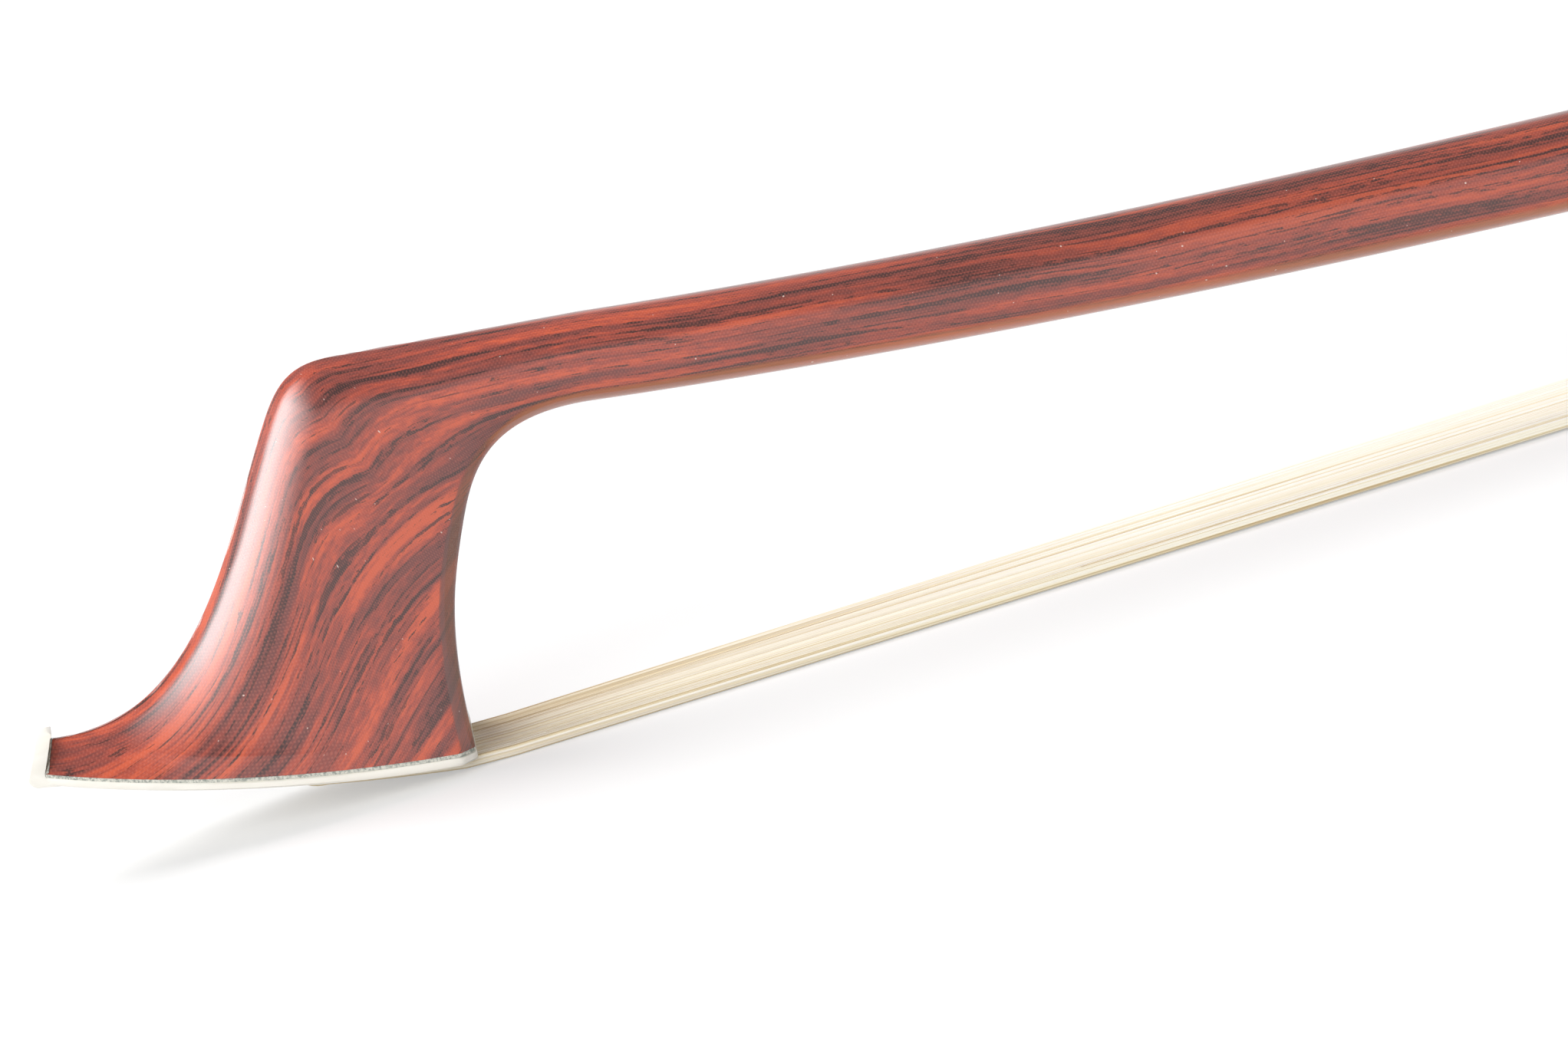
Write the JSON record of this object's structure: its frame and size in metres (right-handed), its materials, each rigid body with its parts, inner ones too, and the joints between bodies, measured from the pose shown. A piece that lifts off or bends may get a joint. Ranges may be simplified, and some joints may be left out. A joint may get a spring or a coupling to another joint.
{
  "type": "cello bow",
  "caption": "Slack cello bow: cambered round stick with a swan-bill head and upturned white tip plate, flat hair ribbon, and an ebony frog drawn back by a turning button.",
  "frame": {"origin": "under the middle of the bow's outer box, on the table it lies on, hair down", "axes": "+X from the head to the button, +Z from the hair to the stick, +Y across; the handle's axis is tilted up by 4 degrees towards the button"},
  "size_m": [0.7092, 0.0148, 0.0381],
  "materials": {
    "stick": "clear-coated: a wood-grain skin of dark streaks on red-brown over a carbon-fibre stick",
    "liner": "dark fibre sheet",
    "plate": "polished ivory-white synthetic",
    "hair": "bleached horsehair",
    "thread": "linen thread",
    "plug": "bare poplar",
    "leather": "smooth dark leather",
    "lapping": "flat synthetic whalebone strip",
    "ebony": "polished ebony",
    "silver": "polished nickel silver",
    "pearl": "polished mother-of-pearl",
    "brass": "turned brass",
    "steel": "turned steel"
  },
  "bodies": {
    "stick": {"stick": "stick", "head_liner": "liner", "tip_plate": "plate", "head_plug": "plug", "head_hair_knot": "thread", "hair_ribbon": "hair", "thumb_grip": "leather", "lapping": "lapping"},
    "frog": {"frog_body": "ebony", "underslide": "silver", "ferrule": "silver", "spread_wedge": "plug", "frog_plug": "plug", "frog_hair_knot": "thread", "slide_backing": "ebony", "slide_pearl": "pearl", "heel_plate": "silver", "back_plate": "silver", "pearl_eye_left": "pearl", "pearl_eye_right": "pearl", "eye_ring_left": "silver", "eye_ring_right": "silver", "eyelet": "brass"},
    "adjuster": {"screw": "steel", "button_front_collar": "silver", "button_core": "ebony", "button_cap": "silver", "button_pearl": "pearl"}
  },
  "joints": [
    {"name": "adjuster_turn", "type": "hinge", "parent": "stick", "child": "adjuster", "pos_m": [0.33856, 0, 0.03224], "axis": [-0.9976, 0, -0.0698], "range_deg": [-720, 1800]},
    {"name": "frog_slide", "type": "slide", "parent": "stick", "child": "frog", "axis": [0.9976, 0, 0.0698], "range_m": [-0.0018, 0.0045], "deforming": ["hair_ribbon"]}
  ],
  "couplings": [
    {"joint": "adjuster_turn", "follows": "frog_slide", "rad_per_m": 6981.3}
  ]
}
